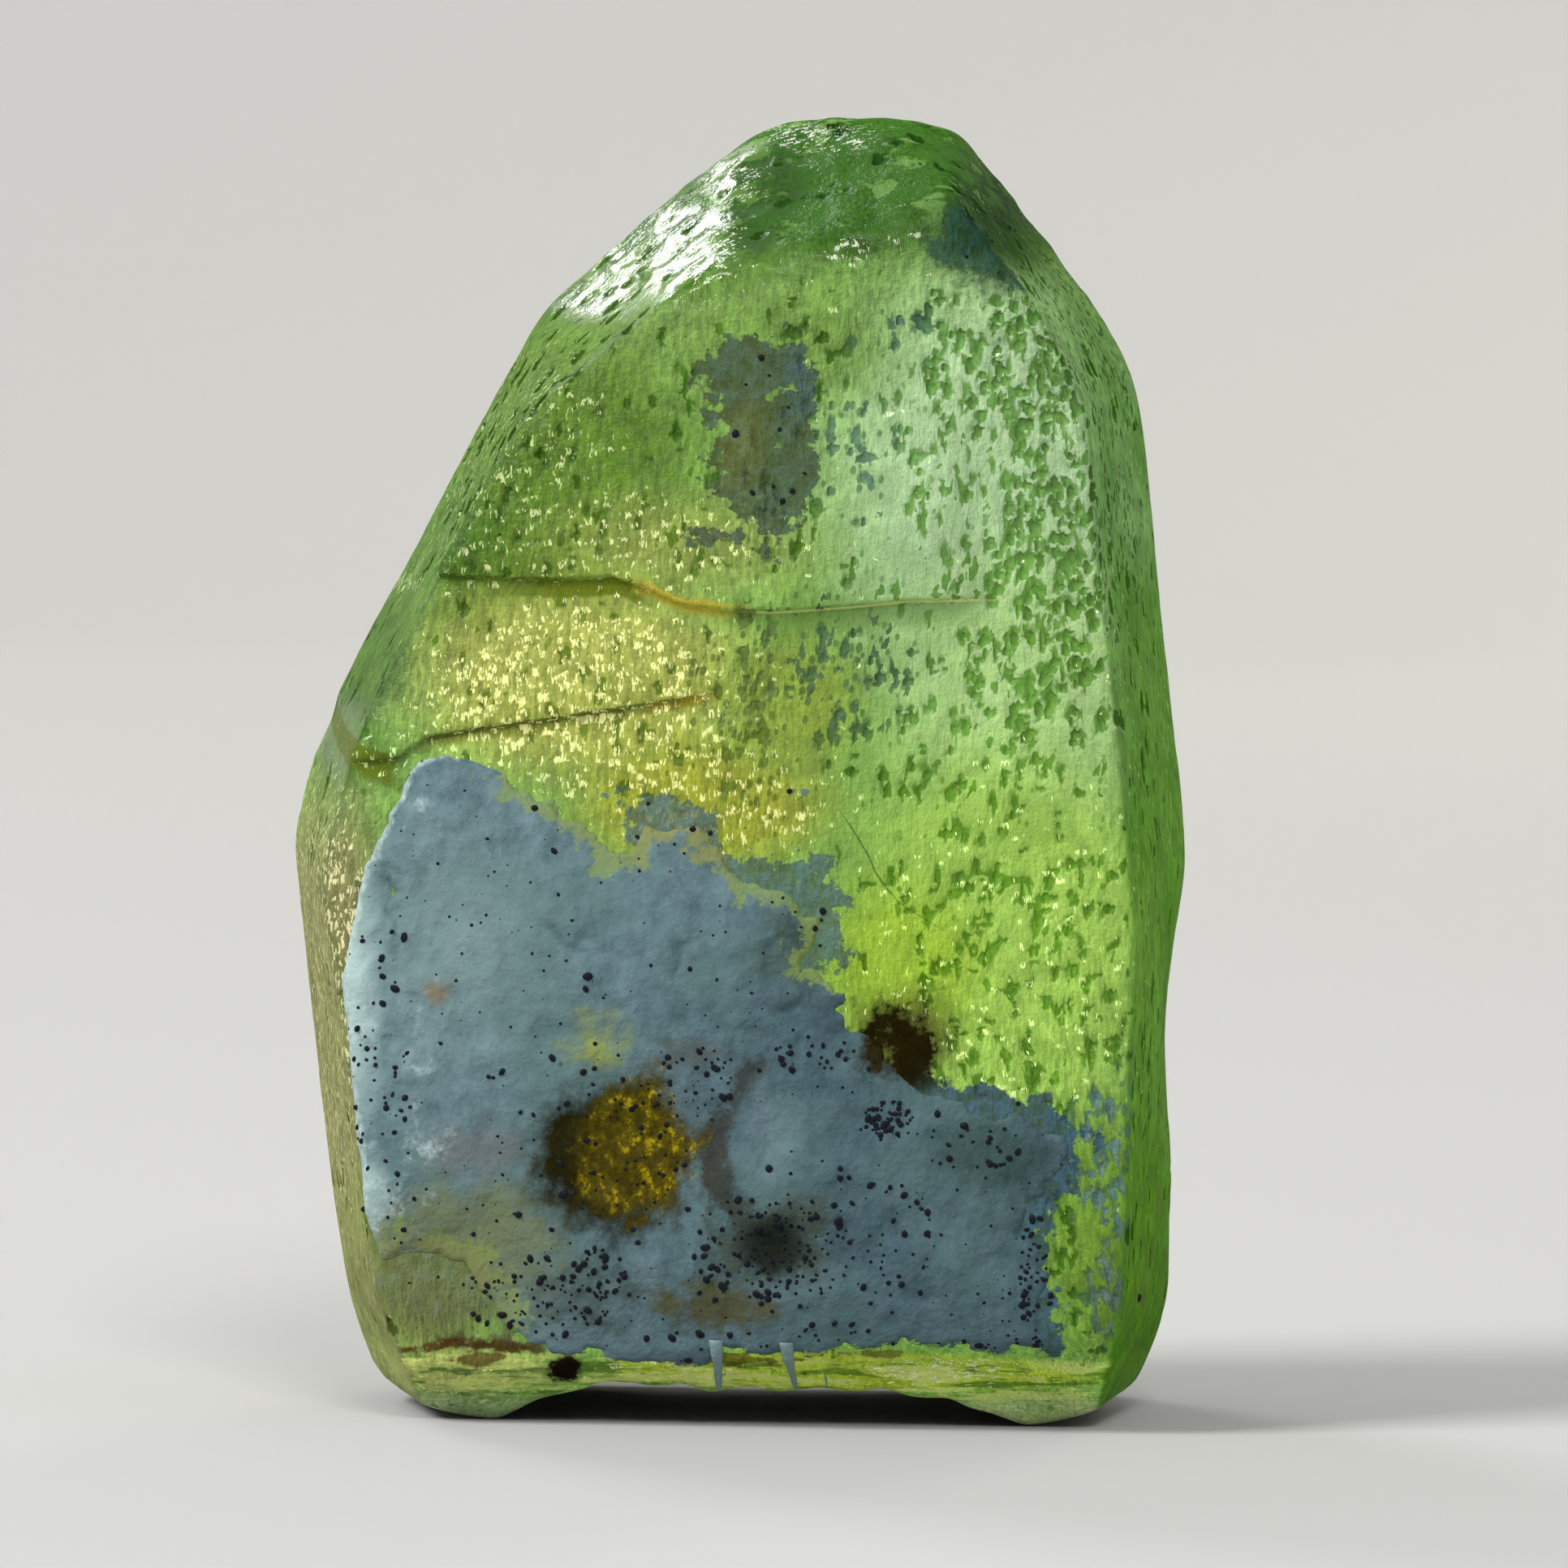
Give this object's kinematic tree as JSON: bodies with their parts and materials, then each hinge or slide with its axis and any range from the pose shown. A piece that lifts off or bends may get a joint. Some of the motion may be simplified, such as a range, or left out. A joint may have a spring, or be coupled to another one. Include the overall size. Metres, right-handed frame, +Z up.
{
  "type": "raw peridot crystal",
  "caption": "Raw gem crystal that stands on its broken base: flattened prism, roof-like tip, stepped etched front and a thin stony crust.",
  "frame": {"origin": "centre of the bounding box at ground level, under the stone", "axes": "+Z up along the crystal to its tip, +X to the right as seen from the broad crusted front face, +Y through the thickness to the back"},
  "size_m": [0.0288, 0.019, 0.0421],
  "materials": {
    "peridot": "clear yellow-green crystal, etched and frosted, glossy at the tip",
    "matrix": "matt pale blue-grey crust with fine black specks"
  },
  "bodies": {
    "root": {"peridot_crystal": "peridot", "matrix_crust": "matrix"}
  },
  "joints": []
}
